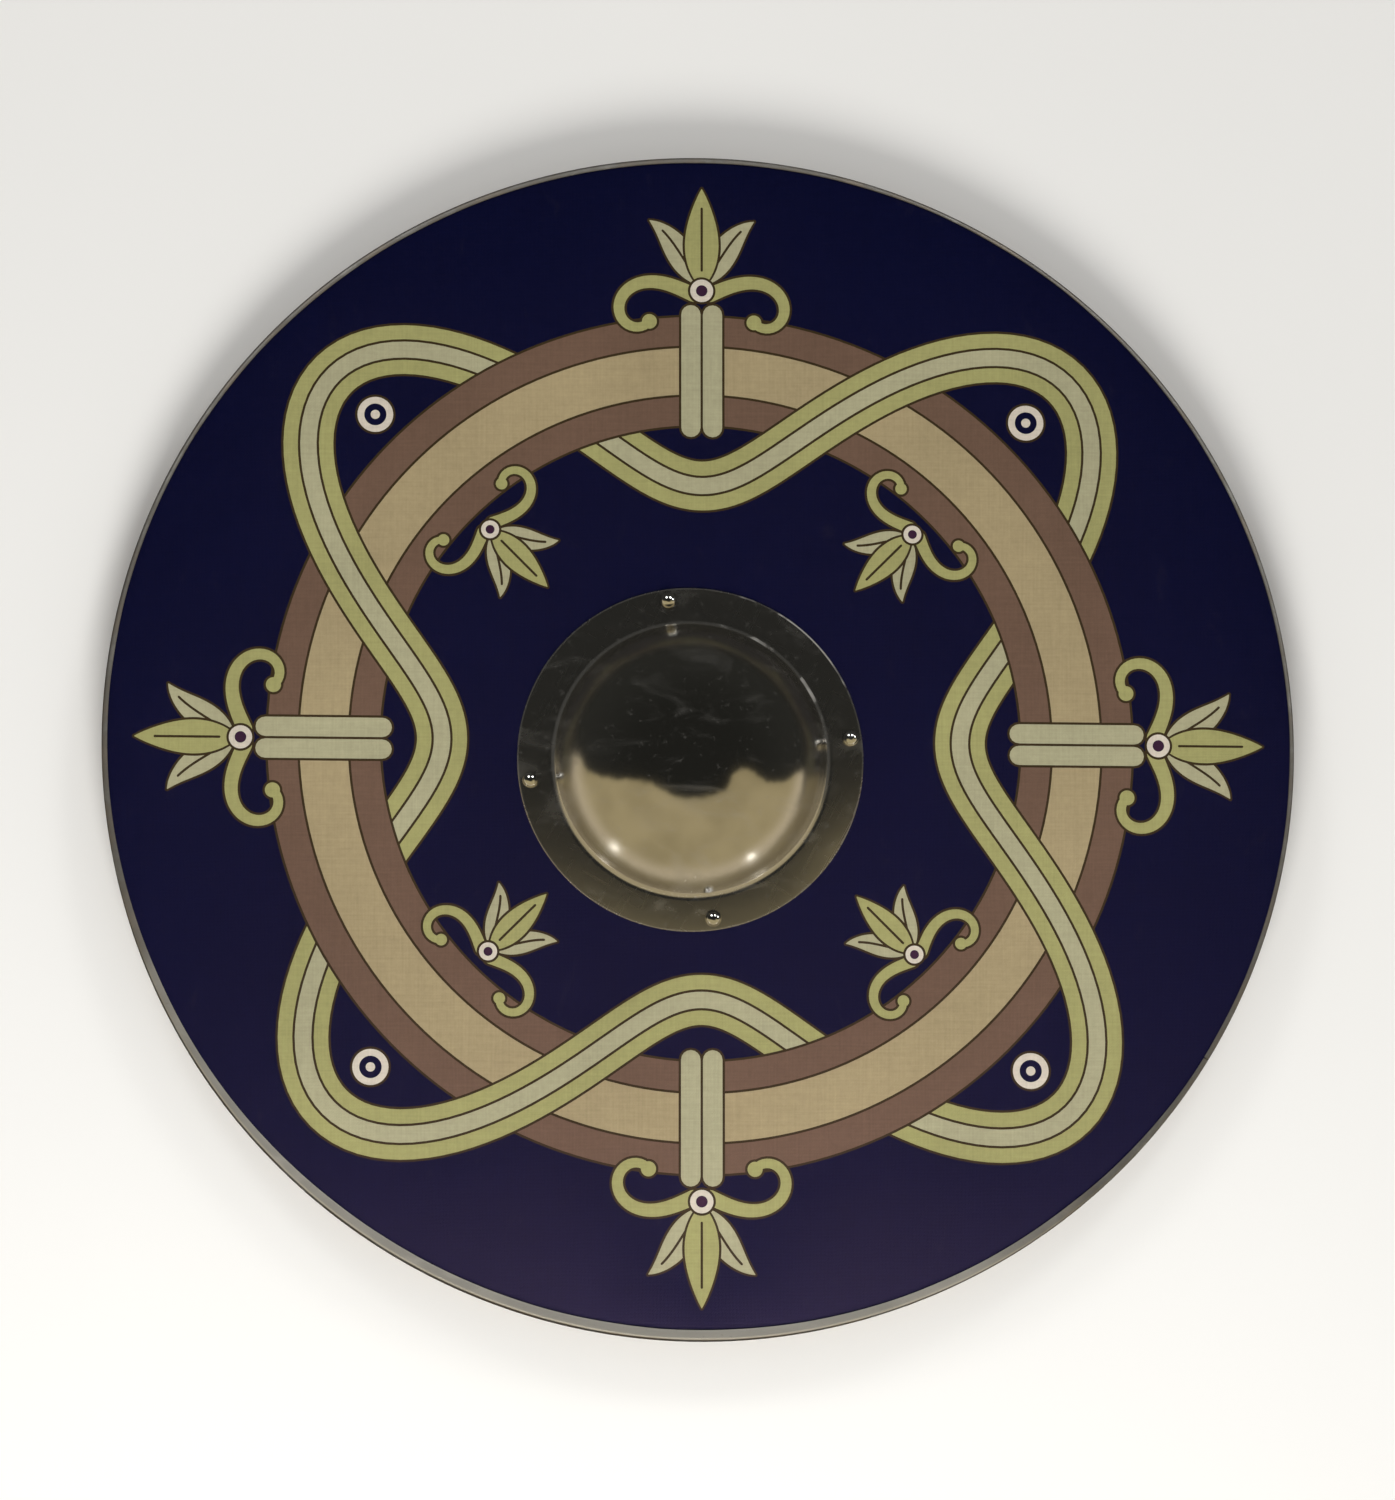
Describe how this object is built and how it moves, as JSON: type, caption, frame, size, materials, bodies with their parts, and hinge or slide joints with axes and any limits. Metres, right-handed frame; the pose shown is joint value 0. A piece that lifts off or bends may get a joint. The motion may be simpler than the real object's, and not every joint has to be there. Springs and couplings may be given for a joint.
{
  "type": "wooden round shield",
  "caption": "Flat round plywood shield with a painted face, a steel channel rim, a domed steel boss over the hand hole and a wooden grip across the back.",
  "frame": {"origin": "under the centre of the rim, on the surface that the shield lies on", "axes": "+Z out of the painted face, +Y to the top of the face, +X to the right of the face"},
  "size_m": [0.7, 0.7, 0.0766],
  "materials": {
    "painted_board": "paint on a linen ground, plain wood at the back",
    "rim_steel": "dull, handled",
    "boss_steel": "polished, faintly smudged",
    "rivet_steel": "polished",
    "rove_steel": "dull",
    "grip_wood": "oiled"
  },
  "bodies": {
    "root": {"board": "painted_board", "rim": "rim_steel", "boss": "boss_steel", "grip": "grip_wood", "rivet_top": "rivet_steel", "rivet_right": "rivet_steel", "rivet_bottom": "rivet_steel", "rivet_left": "rivet_steel", "rove_top": "rove_steel", "rove_right": "rove_steel", "rove_bottom": "rove_steel", "rove_left": "rove_steel"}
  },
  "joints": []
}
